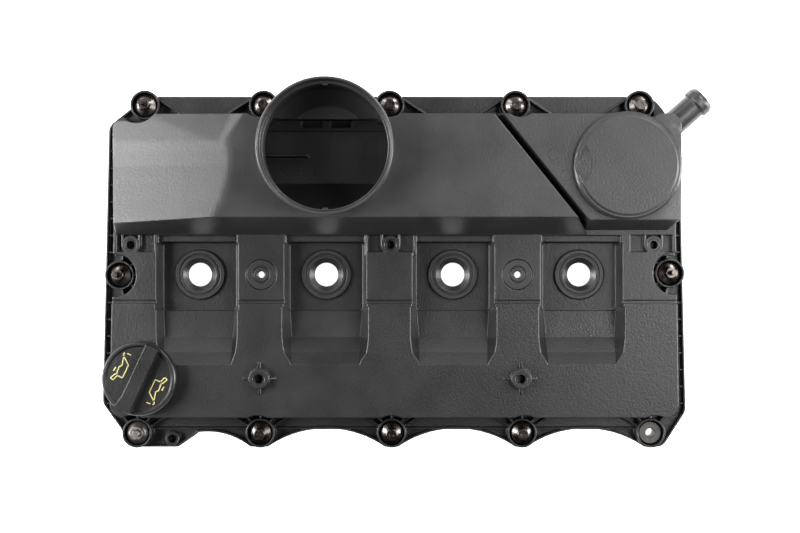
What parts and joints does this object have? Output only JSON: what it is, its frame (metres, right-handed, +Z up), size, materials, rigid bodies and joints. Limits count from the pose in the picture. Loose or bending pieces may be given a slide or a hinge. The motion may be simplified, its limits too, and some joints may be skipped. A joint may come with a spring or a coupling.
{
  "type": "engine valve cover",
  "caption": "Black moulded plastic engine valve cover with built-in intake plenum, round air mouth, oil separator and filler cap.",
  "frame": {"origin": "centre of the sealing plane, midway between cylinders 2 and 3 on the injectors' line", "axes": "+X along the row of cylinders towards the oil separator, +Y towards the intake plenum, +Z up, off the engine"},
  "size_m": [0.4553, 0.2724, 0.105],
  "materials": {
    "body_plastic": "satin",
    "plenum_plastic": "satin",
    "separator_plastic": "satin",
    "lid_plastic": "satin",
    "valve_plastic": "satin",
    "cap_plastic": "satin",
    "seal_rubber": "matte",
    "membrane_rubber": "matte",
    "gasket_rubber": "matte",
    "grommet_rubber": "matte",
    "sleeve_steel": "satin",
    "bolt_steel": "satin",
    "pilot_steel": "satin",
    "spring_steel": "polished",
    "insert_brass": "satin"
  },
  "bodies": {
    "cover": {"cover_body": "body_plastic", "plenum_shell": "plenum_plastic", "separator_shell": "separator_plastic", "vent_lid": "lid_plastic", "vent_diaphragm": "membrane_rubber", "vent_spring": "spring_steel", "oil_baffle": "body_plastic", "injector_seal_1": "seal_rubber", "injector_seal_2": "seal_rubber", "injector_seal_3": "seal_rubber", "injector_seal_4": "seal_rubber", "stud_seal_left": "seal_rubber", "stud_seal_right": "seal_rubber", "gasket": "gasket_rubber", "bolt_grommets": "grommet_rubber", "bolt_sleeves": "sleeve_steel", "flange_bolts": "bolt_steel", "stud_bolts": "bolt_steel", "pilot_bolt": "pilot_steel", "screw_inserts": "insert_brass"},
    "cap_seal": {"cap_seal": "gasket_rubber"},
    "cap": {"filler_cap": "cap_plastic"},
    "vent_valve": {"vent_plate": "valve_plastic"}
  },
  "joints": [
    {"name": "cap_lift", "type": "slide", "parent": "cover", "child": "cap_seal", "axis": [0, 0, 1], "range_m": [0, 0.0119]},
    {"name": "cap_turn", "type": "hinge", "parent": "cap_seal", "child": "cap", "pos_m": [-0.184, -0.0764, 0.059], "axis": [0, 0, 1], "range_deg": [0, 540]},
    {"name": "vent_slide", "type": "slide", "parent": "cover", "child": "vent_valve", "axis": [0, 0, 1], "range_m": [-0.003, 0], "stiffness_N_per_m": 150, "springref_m": 0.004, "deforming": ["vent_spring", "vent_diaphragm"]}
  ],
  "couplings": [
    {"joint": "cap_turn", "follows": "cap_lift", "rad_per_m": 785.4}
  ]
}
